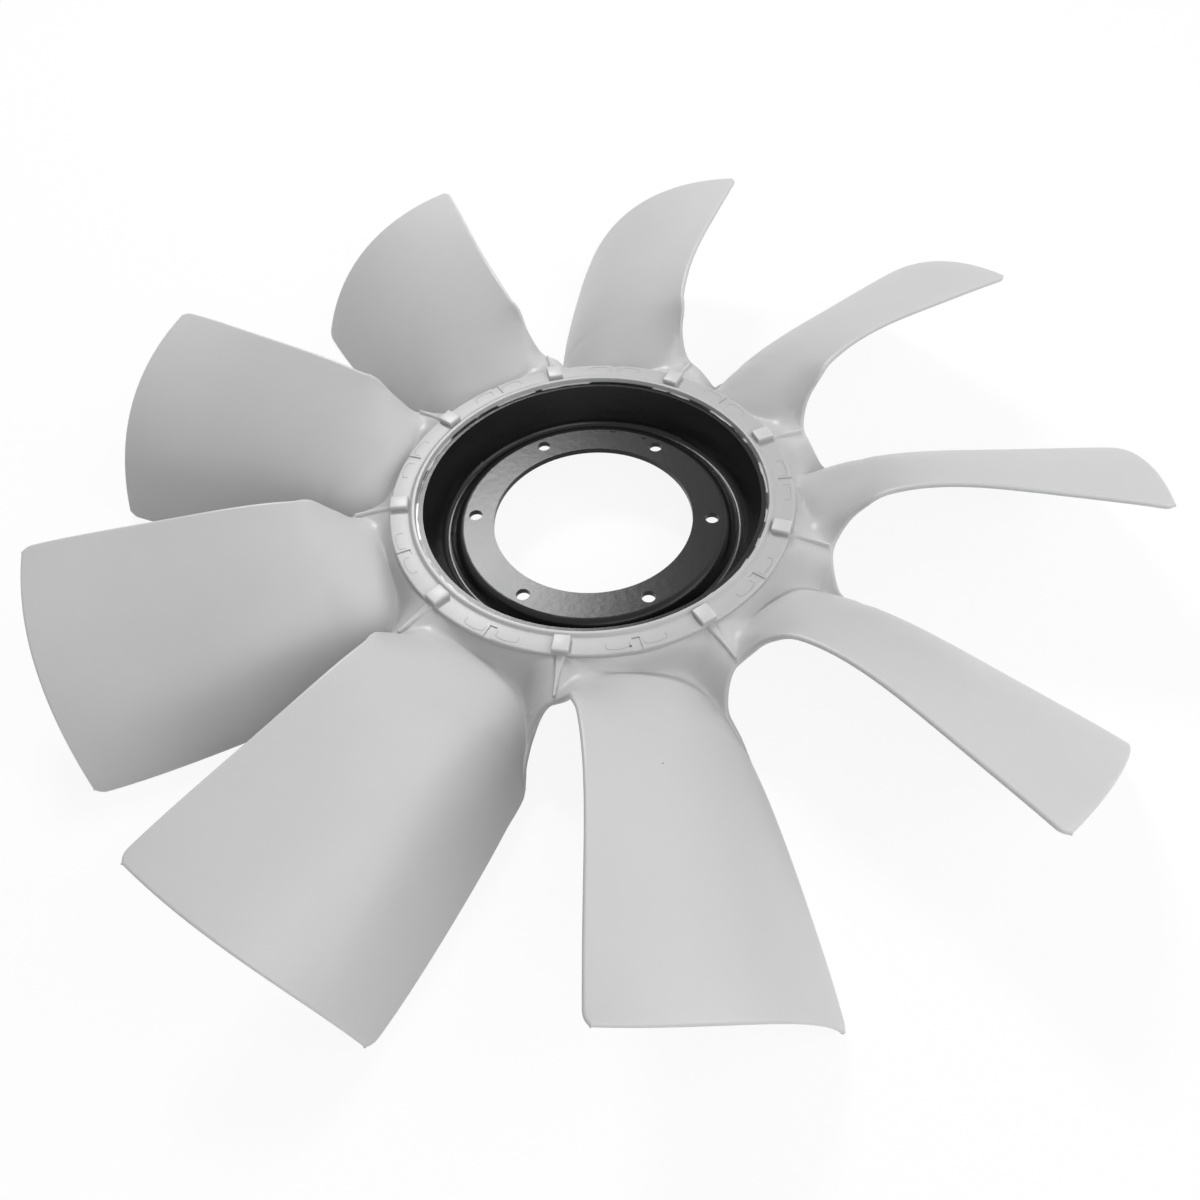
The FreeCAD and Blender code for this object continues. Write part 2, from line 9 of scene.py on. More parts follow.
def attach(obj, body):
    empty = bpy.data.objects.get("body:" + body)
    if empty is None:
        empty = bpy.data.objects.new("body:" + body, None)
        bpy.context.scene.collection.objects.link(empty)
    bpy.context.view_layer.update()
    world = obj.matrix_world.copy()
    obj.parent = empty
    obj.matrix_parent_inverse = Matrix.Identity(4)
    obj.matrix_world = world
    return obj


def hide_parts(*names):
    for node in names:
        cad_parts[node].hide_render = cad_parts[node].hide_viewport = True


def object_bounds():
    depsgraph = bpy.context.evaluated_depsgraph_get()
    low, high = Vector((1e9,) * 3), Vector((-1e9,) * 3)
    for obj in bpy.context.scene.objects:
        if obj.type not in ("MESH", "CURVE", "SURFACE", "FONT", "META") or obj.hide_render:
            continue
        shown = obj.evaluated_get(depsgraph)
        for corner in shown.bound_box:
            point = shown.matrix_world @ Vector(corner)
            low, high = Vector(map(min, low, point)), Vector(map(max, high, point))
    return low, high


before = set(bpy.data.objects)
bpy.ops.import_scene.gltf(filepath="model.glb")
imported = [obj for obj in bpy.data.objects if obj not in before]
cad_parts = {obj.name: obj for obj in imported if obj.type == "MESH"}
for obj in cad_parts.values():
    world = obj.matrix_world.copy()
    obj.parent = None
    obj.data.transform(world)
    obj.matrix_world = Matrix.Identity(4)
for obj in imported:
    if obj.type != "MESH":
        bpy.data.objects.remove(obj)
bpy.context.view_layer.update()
mm = 0.001
print("frame loaded")

# blades: edge places at five radii; angles in degrees run from the rib on +X, lengths in mm
blade = {
    "count": 9,
    "stations": (140.0, 170.0, 210.0, 280.0, 352.0),
    "frontAngle": (1.2, 5.1, 7.4, 7.9, 7.8),
    "frontHeight": (16.8, 42.4, 55.6, 56.5, 52.2),
    "backAngle": (36.5, 36.0, 34.4, 31.2, 28.4),
    "backHeight": (-34.7, -31.8, -31.7, -35.3, -37.2),
    "camber": (14.9, 14.9, 15.2, 17.6, 22.2),
    "skew": (-0.51, -0.14),
    "thickness": 3.5,
    "tipRadius": 352.0,
    "tipCorner": 7.0,
    "notchShare": 1.012,
    "notchStart": 200.0,
    "notchEnd": 222.0,
}

# web between the ring and the blades, and the rounded gap between two blades
web = {
    "startRadius": 129.0,
    "ringRadius": 132.0,
    "ringHeight": 18.5,
    "thickness": 5.0,
    "fall": (2.0, -1.75, -0.2),
    "crease": 20.0,
    "shoulder": 3.0,
    "drop": (18.9, 30.0),
    "dropShare": (0.44, 0.15),
    "dropStart": 156.0,
    "dropEnd": 190.0,
    "reliefRadius": 172.0,
    "relief": 0.5,
    "gapRadius": 158.5,
    "gapRounding": 16.0,
    "gapFront": 0.125,
    "gapBack": 0.1275,
    "blendStart": 172.0,
    "blendEnd": 188.0,
    "blendLater": 16.0,
}

sector = 2 * math.pi / blade["count"]


def ease(x, start, end):  # 0 before start, 1 after end, smooth cubic between
    share = np.clip((x - start) / (end - start), 0, 1)
    return share * share * (3 - 2 * share)


def throughStations(values, r):  # polynomial that meets each value at its station's radius
    radii = blade["stations"]
    total = 0 * r
    for i, value in enumerate(values):
        term = value + 0 * r
        for j, other in enumerate(radii):
            if j != i:
                term = term * (r - other) / (radii[i] - other)
        total = total + term
    return total


def bladeChord(r):  # front angle and height, run and rise of the chord, its length, camber and skew
    front = np.radians(throughStations(blade["frontAngle"], r))
    back = np.radians(throughStations(blade["backAngle"], r))
    top = throughStations(blade["frontHeight"], r)
    rise = throughStations(blade["backHeight"], r) - top
    run = r * (back - front)
    out = (r - blade["stations"][0]) / (blade["stations"][-1] - blade["stations"][0])
    skew = blade["skew"][0] + (blade["skew"][1] - blade["skew"][0]) * out
    return front, top, run, rise, np.hypot(run, rise), throughStations(blade["camber"], r), skew


# blade: straight chord from front edge to back edge, plus a skewed parabola along the chord's normal
def bladePoint(r, share):
    front, top, run, rise, chord, camber, skew = bladeChord(r)
    bulge = camber * 4 * share * (1 - share) * (1 + skew * (1 - 2 * share))
    return front + (share * run - bulge * rise / chord) / r, top + share * rise + bulge * run / chord


# the same blade as a height over radius and angle; the share is found by repeating the angle's formula
def bladeHeight(r, angle):
    front, top, run, rise, chord, camber, skew = bladeChord(r)
    share = even = r * (angle - front) / run
    for _ in range(12):
        inside = np.clip(share, 0, 1)
        bulge = camber * 4 * inside * (1 - inside) * (1 + skew * (1 - 2 * inside))
        share = 0.5 * share + 0.5 * (even + bulge * rise / chord / run)
    return top + share * rise + bulge * run / chord


def softMax(a, b, reach):  # the higher of two heights, rounded where they differ by less than the reach
    return np.maximum(a, b) + np.maximum(reach - np.abs(a - b), 0) ** 2 / (4 * reach)


# web: the higher of a ring side that falls by a wave of the angle and the blade run inward, smoothly joined
def webPoint(r, share):
    turn = 2 * math.pi * share
    level, c1, s1 = web["fall"]
    fall = level + c1 * np.cos(turn) + s1 * np.sin(turn)
    side = web["ringHeight"] - fall * softMax(r - web["ringRadius"], 0, web["shoulder"])
    side = side + web["relief"] * softMax(r - web["reliefRadius"], 0, web["shoulder"])
    lowered = sum(d * np.clip(1 - share / x, 0, 1) ** 2 for d, x in zip(web["drop"], web["dropShare"]))
    inner = bladeHeight(r, sector * share) - lowered * (1 - ease(r, web["dropStart"], web["dropEnd"]))
    return sector * share, softMax(side, inner, web["crease"])


gapWidth = 1 - web["gapFront"] - web["gapBack"]


# sheet: the web near the ring, the blade outside, mixed by a smooth step of the radius;
# the step comes later at the back edge
def sheetPoint(r, share):
    mix = ease(r - web["blendLater"] * share ** 2, web["blendStart"], web["blendEnd"])
    webAngle, webHeight = webPoint(r, share)
    bladeShare = (share - web["gapFront"]) * blade["notchShare"] / gapWidth
    outerAngle, outerHeight = bladePoint(np.maximum(r, web["blendStart"]), bladeShare)
    angle = webAngle + (outerAngle - webAngle) * mix
    height = webHeight + (outerHeight - webHeight) * mix
    return np.stack([r * np.cos(angle), r * np.sin(angle), height], -1)


def unit(v):  # each vector divided by its own length
    return v / np.linalg.norm(v, axis=-1, keepdims=True)


def sheetSlopes(r, share, step=0.002):  # differences of the sheet along the radius and across the sector
    along = sheetPoint(r + step, share) - sheetPoint(r - step, share)
    across = sheetPoint(r, share + step) - sheetPoint(r, share - step)
    return along, across


# ends of the sheet at one radius: an ellipse round the gap, the notch behind it, rounded tip corners
def sheetEnds(r):
    past = np.clip((r - web["gapRadius"]) / web["gapRounding"], 0, 1)
    opening = np.sqrt(1 - (1 - past) ** 2)
    full = ease(r, blade["notchStart"], blade["notchEnd"])
    corner = np.clip((r - blade["tipRadius"] + blade["tipCorner"]) / blade["tipCorner"], 0, 1)
    chord = bladeChord(r)[4]
    inset = blade["tipCorner"] * (1 - np.sqrt(1 - corner ** 2)) / chord * gapWidth / blade["notchShare"]
    start = web["gapFront"] * opening + inset
    end = 1 - web["gapBack"] * opening + full * (1 / blade["notchShare"] - 1) * gapWidth - inset
    return start, end


def halfThickness(r):  # half the wall, thinning smoothly from the web to the blade
    mix = ease(r, web["startRadius"], web["blendEnd"])
    return (web["thickness"] + (blade["thickness"] - web["thickness"]) * mix) / 2


def gridFaces(rows, columns):  # quads of a grid of points numbered row by row
    a = (np.arange(rows - 1)[:, None] * columns + np.arange(columns - 1)[None, :]).ravel()
    return np.stack([a, a + columns, a + columns + 1, a + 1], -1)


# one mesh from point grids in mm, welded where they meet
def makePiece(name, grids, material, sharpAngle=35):
    points = np.concatenate([g.reshape(-1, 3) for g in grids]) * mm
    faces, first = [], 0
    for g in grids:
        faces.append(gridFaces(*g.shape[:2]) + first)
        first += g.shape[0] * g.shape[1]
    faces = np.concatenate(faces)
    mesh = bpy.data.meshes.new(name)
    mesh.from_pydata(points, [], faces)
    piece = bpy.data.objects.new(name, mesh)
    bpy.context.scene.collection.objects.link(piece)
    weld(mesh)
    mesh.shade_smooth()
    mesh.set_sharp_from_angle(angle=math.radians(sharpAngle))
    mesh.materials.append(material)
    return piece


def weld(mesh, distance=0.00001):  # merge doubled points, drop faces that collapse, point the rest outward
    work = bmesh.new()
    work.from_mesh(mesh)
    bmesh.ops.remove_doubles(work, verts=work.verts, dist=distance)
    bmesh.ops.dissolve_degenerate(work, edges=work.edges, dist=distance / 10)
    bmesh.ops.recalc_face_normals(work, faces=work.faces)
    work.to_mesh(mesh)
    work.free()


def turned(grid, angle):  # the grid's points turned about the fan's axis
    c, s = math.cos(angle), math.sin(angle)
    return grid @ np.array([[c, s, 0], [-s, c, 0], [0, 0, 1]])


def around(grids, count):  # copies of grids, evenly about the axis
    return [turned(g, 2 * math.pi * k / count) for k in range(count) for g in grids]


# shader helper: a socket with arithmetic
class Wire:
    def __init__(self, tree, socket):
        self.tree, self.socket = tree, socket

    def math(self, operation, *values):
        return Wire(self.tree, addNode(self.tree, "ShaderNodeMath", {"operation": operation},
                                       dict(enumerate(values))).outputs[0])

    def __add__(self, other):
        return self.math("ADD", self, other)

    def __radd__(self, other):
        return self.math("ADD", other, self)

    def __sub__(self, other):
        return self.math("SUBTRACT", self, other)

    def __rsub__(self, other):
        return self.math("SUBTRACT", other, self)

    def __mul__(self, other):
        return self.math("MULTIPLY", self, other)

    def __rmul__(self, other):
        return self.math("MULTIPLY", other, self)

    def __truediv__(self, other):
        return self.math("DIVIDE", self, other)


def addNode(tree, kind, settings=None, inputs=None):  # settings first, then values or wires for its sockets
    node = tree.nodes.new(kind)
    for key, value in (settings or {}).items():
        setattr(node, key, value)
    for key, value in (inputs or {}).items():
        if isinstance(value, Wire):
            tree.links.new(value.socket, node.inputs[key])
        else:
            node.inputs[key].default_value = value
    return node


def newMaterial(name):  # an empty node tree with a Principled shader wired to its output
    material = bpy.data.materials.new(name)
    material.use_nodes = True
    tree = material.node_tree
    tree.nodes.clear()
    shader = addNode(tree, "ShaderNodeBsdfPrincipled")
    output = addNode(tree, "ShaderNodeOutputMaterial")
    tree.links.new(shader.outputs[0], output.inputs[0])
    return material, tree, shader


def link(tree, wire, node, name):  # a wire to one socket of a node
    tree.links.new(wire.socket, node.inputs[name])


def noise(tree, coords, scale, detail=3.0, roughness=0.5):  # soft cloudy numbers between 0 and 1
    node = addNode(tree, "ShaderNodeTexNoise", {"noise_dimensions": "3D"},
                   {"Vector": coords, "Scale": scale, "Detail": detail, "Roughness": roughness})
    return Wire(tree, node.outputs[0])


def mixColour(tree, factor, first, second):  # the first colour at 0, the second at 1
    node = addNode(tree, "ShaderNodeMix", {"data_type": "RGBA"}, {0: factor, 6: first, 7: second})
    return Wire(tree, node.outputs[2])


def away(tree, coords, place):  # distance from a place on the part, in metres
    node = addNode(tree, "ShaderNodeVectorMath", {"operation": "DISTANCE"}, {0: coords, 1: place})
    return Wire(tree, node.outputs["Value"])


def spots(tree, coords, places, sizes):  # 1 inside small round spots and 0 outside, with a soft edge
    total = 0
    for place, size in zip(places, sizes):
        inside = (size - away(tree, coords, place)) / (size * 0.4)
        total = total + inside.math("MAXIMUM", inside.math("MINIMUM", inside, 1), 0)
    return total


def stretched(wire, low, high):  # the wire's number stretched so that low becomes 0 and high becomes 1
    node = addNode(wire.tree, "ShaderNodeMapRange", {"clamp": True},
                   {"Value": wire, "From Min": low, "From Max": high})
    return Wire(wire.tree, node.outputs[0])


def fromAxis(tree, coords):  # distance from the fan's axis, in metres
    flat = addNode(tree, "ShaderNodeVectorMath", {"operation": "MULTIPLY"}, {0: coords, 1: (1, 1, 0)})
    node = addNode(tree, "ShaderNodeVectorMath", {"operation": "LENGTH"}, {0: Wire(tree, flat.outputs[0])})
    return Wire(tree, node.outputs["Value"])


nylonLook = {
    "colour": (0.56, 0.56, 0.56, 1),
    "shade": (0.52, 0.52, 0.52, 1),
    # colour of the painted shade round the hub, then the radii and heights in metres where it fades out
    "paintedShade": (0.42, 0.42, 0.42, 1),
    "paintedShadeRadii": (0.150, 0.131),
    "paintedShadeHeights": (0.0260, 0.0238),
    "speck": (0.05, 0.05, 0.05, 1),
    "specks": ((0.0611, -0.1141, 0.0225), (0.1027, -0.194, 0.0395)),
    "speckSizes": (0.0011, 0.0006),
    "roughness": 0.4,
    "depth": 0.35,
    "depthScale": 0.006,
    "cloudSize": 14.0,
    "cloudRoughness": 0.12,
    "grainSize": 900.0,
    "grainRoughness": 0.08,
    "grainHeight": 0.00004,
    "flowSize": 22.0,
    "flowHeight": 0.0004,
}


def makeNylon():
    material, tree, shader = newMaterial("mouldedNylon")
    shader.inputs["Subsurface Weight"].default_value = nylonLook["depth"]
    shader.inputs["Subsurface Scale"].default_value = nylonLook["depthScale"]
    shader.inputs["Subsurface Radius"].default_value = (1, 1, 1)
    coords = Wire(tree, addNode(tree, "ShaderNodeTexCoord").outputs["Object"])
    clouds = noise(tree, coords, nylonLook["cloudSize"], 4)
    grain = noise(tree, coords, nylonLook["grainSize"], 2)
    flow = noise(tree, coords, nylonLook["flowSize"], 1, 0.4)
    speck = spots(tree, coords, nylonLook["specks"], nylonLook["speckSizes"])
    base = mixColour(tree, clouds, nylonLook["colour"], nylonLook["shade"])
    # painted shade: the ring's land and the web round the hub are darkened in full below 131 mm from the axis
    # and 23.8 mm high, fading out by 150 mm and 26 mm, so the tall tabs keep the plain colour
    height = Wire(tree, addNode(tree, "ShaderNodeSeparateXYZ", {}, {0: coords}).outputs["Z"])
    shadeMask = stretched(fromAxis(tree, coords), *nylonLook["paintedShadeRadii"])
    shadeMask = shadeMask * stretched(height, *nylonLook["paintedShadeHeights"])
    base = mixColour(tree, shadeMask, base, nylonLook["paintedShade"])
    link(tree, mixColour(tree, speck, base, nylonLook["speck"]), shader, "Base Color")
    uneven = clouds * nylonLook["cloudRoughness"] + grain * nylonLook["grainRoughness"]
    evenPart = nylonLook["roughness"] - (nylonLook["cloudRoughness"] + nylonLook["grainRoughness"]) / 2
    link(tree, uneven + evenPart, shader, "Roughness")
    height = grain * nylonLook["grainHeight"] + flow * nylonLook["flowHeight"]
    bump = addNode(tree, "ShaderNodeBump", {}, {"Strength": 1.0, "Distance": 1.0, "Height": height})
    tree.links.new(bump.outputs[0], shader.inputs["Normal"])
    return material


# painted highlight along the steel rim's edge: pale patches stand for the glint, black patches are the bare
# black steel
rimHighlightLook = {
    "paintedHighlight": (0.60, 0.60, 0.60, 1),
    "bare": (0.012, 0.012, 0.013, 1),
    "patches": 55.0,
    "grainSize": 300.0,
    "grainRoughness": 0.15,
    "bareFrom": 0.5,
    "bareTo": 0.54,
    "roughness": 0.25,
}


def makeRimHighlight():
    material, tree, shader = newMaterial("paintedRimHighlight")
    coords = Wire(tree, addNode(tree, "ShaderNodeTexCoord").outputs["Object"])
    # pale painted highlight where the noise is low, black steel colour where it is high
    bare = stretched(noise(tree, coords, rimHighlightLook["patches"], 1), rimHighlightLook["bareFrom"], rimHighlightLook["bareTo"])
    link(tree, mixColour(tree, bare, rimHighlightLook["paintedHighlight"], rimHighlightLook["bare"]), shader, "Base Color")
    grain = noise(tree, coords, rimHighlightLook["grainSize"])
    link(tree, grain * rimHighlightLook["grainRoughness"] + rimHighlightLook["roughness"], shader, "Roughness")
    return material


steelLook = {
    "colour": (0.004, 0.004, 0.0045, 1),
    "worn": (0.009, 0.009, 0.0095, 1),
    "punched": (0.002, 0.002, 0.002, 1),
    "marks": ((-0.0122, 0.0855, 0.0), (0.0117, 0.0839, 0.0)),
    "markSizes": (0.0018, 0.0014),
    "roughness": 0.25,
    "specular": 0.24,
    "cloudSize": 30.0,
    "cloudRoughness": 0.03,
    "grainSize": 1400.0,
    "grainRoughness": 0.05,
    "grainHeight": 0.000012,
    "peelSize": 180.0,
    "peelHeight": 0.00006,
    "markDepth": 0.0004,
}


def makeSteel():
    material, tree, shader = newMaterial("blackCoatedSteel")
    shader.inputs["Specular IOR Level"].default_value = steelLook["specular"]
    coords = Wire(tree, addNode(tree, "ShaderNodeTexCoord").outputs["Object"])
    clouds = noise(tree, coords, steelLook["cloudSize"], 4)
    grain = noise(tree, coords, steelLook["grainSize"], 2)
    peel = noise(tree, coords, steelLook["peelSize"], 1)
    mark = spots(tree, coords, steelLook["marks"], steelLook["markSizes"])
    base = mixColour(tree, clouds, steelLook["colour"], steelLook["worn"])
    link(tree, mixColour(tree, mark, base, steelLook["punched"]), shader, "Base Color")
    uneven = clouds * steelLook["cloudRoughness"] + grain * steelLook["grainRoughness"]
    evenPart = steelLook["roughness"] - (steelLook["cloudRoughness"] + steelLook["grainRoughness"]) / 2
    link(tree, uneven + evenPart, shader, "Roughness")
    height = grain * steelLook["grainHeight"] + peel * steelLook["peelHeight"] - mark * steelLook["markDepth"]
    bump = addNode(tree, "ShaderNodeBump", {}, {"Strength": 1.0, "Distance": 1.0, "Height": height})
    tree.links.new(bump.outputs[0], shader.inputs["Normal"])
    return material


nylon = makeNylon()
rimHighlight = makeRimHighlight()
steel = makeSteel()
print("materials made")

# blades and web: rows run outward; front, back, both edges and the tip are grids that share their rims
bladeMesh = {
    "columns": 41,
    "webRows": 12,
    "turnRows": 14,
    "bladeRows": 44,
    "cornerRows": 9,
    "edgeSteps": 7,
    "capSteps": 5,
}


def makeBlades():
    columns = (1 - np.cos(np.linspace(0, math.pi, bladeMesh["columns"]))) / 2
    webRows = np.linspace(web["startRadius"], web["gapRadius"], bladeMesh["webRows"])
    turn = np.linspace(0, math.pi / 2, bladeMesh["turnRows"])
    turnRows = web["gapRadius"] + web["gapRounding"] * (1 - np.cos(turn))
    endRadius = blade["tipRadius"] - blade["thickness"] / 2
    cornerStart = endRadius - blade["tipCorner"]
    straight = np.linspace(turnRows[-1], cornerStart, bladeMesh["bladeRows"])[1:]
    cornerTurn = np.linspace(0, math.pi / 2, bladeMesh["cornerRows"])[1:]
    corner = cornerStart + blade["tipCorner"] * np.sin(cornerTurn)
    outRows = np.concatenate([turnRows, straight, corner])

    def middle(rows):
        start, end = sheetEnds(rows)
        share = start[:, None] + (end - start)[:, None] * columns[None, :]
        r = rows[:, None] + 0 * share
        along, across = sheetSlopes(r, share)
        return sheetPoint(r, share), unit(np.cross(along, across)), halfThickness(r)[..., None], along, across

    grids = []
    points, normals, half, _, _ = middle(webRows)
    grids += [points + normals * half, points - normals * half]
    grids.append(np.stack([(points + normals * half)[0], (points - normals * half)[0]]))

    points, normals, half, along, across = middle(outRows)
    front, back = points + normals * half, points - normals * half
    grids += [front, back]
    psi = np.linspace(0, math.pi, bladeMesh["edgeSteps"] * 2 + 1)[None, :, None]
    edges = []
    for side, sign in ((0, -1), (-1, 1)):
        run = np.gradient(points[:, side], axis=0)
        out = unit(np.cross(run, normals[:, side])) * -sign
        flat = across[0, side] / np.linalg.norm(across[0, side])
        out[0] = unit(along[0, side] - flat * np.dot(along[0, side], flat))
        n, t, h = normals[:, side][:, None], out[:, None], half[:, side][:, None]
        edges.append(points[:, side][:, None] + h * (np.cos(psi) * n + np.sin(psi) * t))
    grids += edges

    # cap: the last row's offsets shrink to nothing while they move outward, so the tip is rounded
    last = points[-1]
    outward = unit(last * np.array([1, 1, 0]))
    phi = np.linspace(0, math.pi / 2, bladeMesh["capSteps"])[:, None, None]
    h = half[-1][None]
    for sideOffset in (normals[-1][None], -normals[-1][None]):
        grids.append(last[None] + h * (np.cos(phi) * sideOffset + np.sin(phi) * outward[None]))
    for edge, side in zip(edges, (0, -1)):
        offset = edge[-1] - last[side]
        grids.append(last[side] + np.cos(phi) * offset[None] + np.sin(phi) * h[0, side] * outward[side])
    return makePiece("nylon_blades", around(grids, blade["count"]), nylon, 60)


blades = makeBlades()
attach(blades, "root")
print("blades made", len(blades.data.polygons))

# ring: profile in mm, radius then height, walked from the steel's rim over the top and back underneath
ring = {
    "rim": (115.7, 20.3),
    "lipWidth": 2.8,
    "lipHeight": 24.0,
    "landHeight": 22.5,
    "landRadius": 133.0,
    "step": 1.2,
    "sideBottom": 15.0,
    "foot": (127.0, -9.0),
    "gripSlope": 68.5,
    "gripDepth": -9.0,
    "gripGap": 0.1,
    "lipLean": 0.5,
    "lipRounding": 0.8,
    "lipFoot": 1.5,
    "footRounding": 1.0,
    "columns": 289,
}


# corners of (radius, height, rounding), each replaced by a parabola's arc
def roundedProfile(corners, steps=6):
    points = []
    count = len(corners)
    for i in range(count):
        before, here, after = (np.array(corners[(i + d) % count][:2], float) for d in (-1, 0, 1))
        size = corners[i][2]
        if size == 0:
            points.append(here[None])
            continue
        a = here + (before - here) / np.linalg.norm(before - here) * size
        b = here + (after - here) / np.linalg.norm(after - here) * size
        t = np.linspace(0, 1, steps)[:, None]
        points.append((1 - t) ** 2 * a + 2 * t * (1 - t) * here + t ** 2 * b)
    points = np.concatenate(points)
    return np.concatenate([points, points[:1]])


def spin(profile, turn):  # grid of the profile turned about the axis by each angle
    r, z = profile[:, 0][:, None], profile[:, 1][:, None]
    return np.stack([r * np.cos(turn), r * np.sin(turn), z + 0 * turn], -1)


gate = {"inner": 123.4, "length": 5.0, "depth": 0.8, "slope": 0.15}


def makeRing():
    rimR, rimZ = ring["rim"]
    gripR = rimR - (rimZ - ring["gripDepth"]) / math.tan(math.radians(ring["gripSlope"]))
    lipR = rimR + ring["lipWidth"]
    corners = [
        (rimR, rimZ, 0),
        (rimR + ring["lipLean"], ring["lipHeight"], ring["lipLean"]),
        (lipR, ring["lipHeight"], ring["lipRounding"]),
        (lipR + ring["lipFoot"], ring["landHeight"], ring["lipRounding"]),
        (gate["inner"], ring["landHeight"], 0),
        (gate["inner"] + gate["slope"], ring["landHeight"], 0),
        (ring["landRadius"], ring["landHeight"], ring["step"]),
        (ring["landRadius"], ring["sideBottom"], 0),
        (ring["foot"][0], ring["foot"][1], ring["footRounding"]),
        (gripR + ring["gripGap"], ring["gripDepth"], 0),
    ]
    profile = roundedProfile(corners)
    # gate recesses: half way between two tabs the land sinks, with extra columns at each recess's two sides
    half = gate["length"] / 2 / ring["landRadius"]
    slope = gate["slope"] / ring["landRadius"]
    middles = (np.arange(blade["count"]) + 0.5) * sector
    sides = middles[:, None] + np.array([-half - slope, -half, half, half + slope])
    even = np.linspace(0, 2 * math.pi, ring["columns"])
    turn = np.sort(np.concatenate([even, sides.ravel()]))[None, :]
    offMiddle = np.abs((turn / sector) % 1 - 0.5) * sector
    sunk = np.clip((half + slope - offMiddle) / slope, 0, 1)
    onLand = (profile[:, 0] > gate["inner"] + 0.1) & (profile[:, 1] > ring["landHeight"] - ring["step"])
    grid = spin(profile, turn)
    grid[..., 2] -= gate["depth"] * sunk * onLand[:, None]
    return makePiece("nylon_ring", [grid], nylon, 40)


hubRing = makeRing()
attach(hubRing, "root")

# tabs: nine raised blocks with rounded edges on the land
tab = {"start": 120.5, "end": 132.4, "width": 10.5, "height": 26.3, "sunk": 4.0, "bevel": 0.9}


# box as rows of rounded rectangles that run up the sides and shrink over the top edge
def roundedBox(low, high, bevel, steps=4):
    low, high = np.array(low, float), np.array(high, float)
    quarters = np.array([0, 0.5, 1, 1.5]) * math.pi
    turn = np.concatenate([np.linspace(a, a + math.pi / 2, steps) for a in quarters])
    cornerX = np.repeat([high[0] - bevel, low[0] + bevel, low[0] + bevel, high[0] - bevel], steps)
    cornerY = np.repeat([high[1] - bevel, high[1] - bevel, low[1] + bevel, low[1] + bevel], steps)
    turn, cornerX, cornerY = (np.append(a, a[0]) for a in (turn, cornerX, cornerY))
    rows = []
    for up in np.linspace(0, math.pi / 2, steps):
        reach = bevel * math.cos(up)
        rows.append(np.stack([cornerX + reach * np.cos(turn), cornerY + reach * np.sin(turn),
                              high[2] - bevel + bevel * math.sin(up) + 0 * turn], -1))
    bottom = rows[0].copy()
    bottom[:, 2] = low[2]
    top = np.stack([cornerX * 0 + (low[0] + high[0]) / 2, cornerY * 0 + (low[1] + high[1]) / 2,
                    high[2] + 0 * turn], -1)
    under = top.copy()
    under[:, 2] = low[2]
    return np.stack([under, bottom] + rows + [top])


def makeTabs():
    half = tab["width"] / 2
    low = (tab["start"], -half, ring["landHeight"] - tab["sunk"])
    high = (tab["end"], half, tab["height"])
    return makePiece("nylon_tabs", around([roundedBox(low, high, tab["bevel"])], blade["count"]), nylon, 40)


tabs = makeTabs()
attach(tabs, "root")

# ribs: wedges on the web from each tab to the bottom of the gap, with half widths and heights at both ends
rib = {
    "start": 130.6,
    "end": 157.4,
    "half": (5.2, 1.2),
    "taper": 1.6,
    "top": (22.3, 17.2),
    "flat": 0.3,
    "sunk": 0.5,
    "depth": 2.5,
    "rows": 26,
    "columns": 29,
}


def makeRibs():
    r = np.linspace(rib["start"], rib["end"], rib["rows"])[:, None]
    across = np.linspace(-1, 1, rib["columns"])[None, :]
    out = (r - rib["start"]) / (rib["end"] - rib["start"])
    half = rib["half"][1] + (rib["half"][0] - rib["half"][1]) * (1 - out) ** rib["taper"]
    side = across * half
    angle = side / r
    r = r + 0 * angle
    share = (angle / sector) % 1
    tilt = unit(np.cross(*sheetSlopes(r, share)))[..., 2]
    surface = sheetPoint(r, share)[..., 2] + halfThickness(r) / np.abs(tilt)
    top = rib["top"][0] + (rib["top"][1] - rib["top"][0]) * out
    rise = np.maximum(top - surface, 0) + rib["sunk"]
    upper = surface - rib["sunk"] + rise * (1 - ease(np.abs(across), rib["flat"], 1))
    lower = surface - rib["depth"]
    grid = np.stack([r * np.cos(angle), r * np.sin(angle), upper], -1)
    under = np.stack([grid[..., 0], grid[..., 1], lower], -1)[:, ::-1]
    loop = np.concatenate([grid, under, grid[:, :1]], axis=1)
    ends = [np.repeat(loop[row].mean(axis=0)[None], loop.shape[1], axis=0)[None] for row in (0, -1)]
    wedge = np.concatenate([ends[0], loop, ends[1]])
    return makePiece("nylon_ribs", around([wedge], blade["count"]), nylon, 50)


ribs = makeRibs()
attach(ribs, "root")

# witness lines: thin raised threads that a mould's inserts leave at both sides of each gate recess
witness = {"radii": (125.6, 130.4), "from": 1.9, "to": 8.2, "thick": 0.17, "squareness": 1.15, "points": 41}


def tube(points, thick, sides=8):  # round thread through points in a level plane, closed at both ends
    run = unit(np.gradient(points, axis=0))
    flat = unit(np.cross(run, [0.0, 0.0, 1.0]))
    turn = np.linspace(0, 2 * math.pi, sides + 1)[None, :, None]
    loop = points[:, None] + thick * (np.cos(turn) * flat[:, None] + np.sin(turn) * np.array([0.0, 0.0, 1.0]))
    ends = [np.repeat(points[row][None, None], sides + 1, axis=1) for row in (0, -1)]
    return np.concatenate([ends[0], loop, ends[1]])


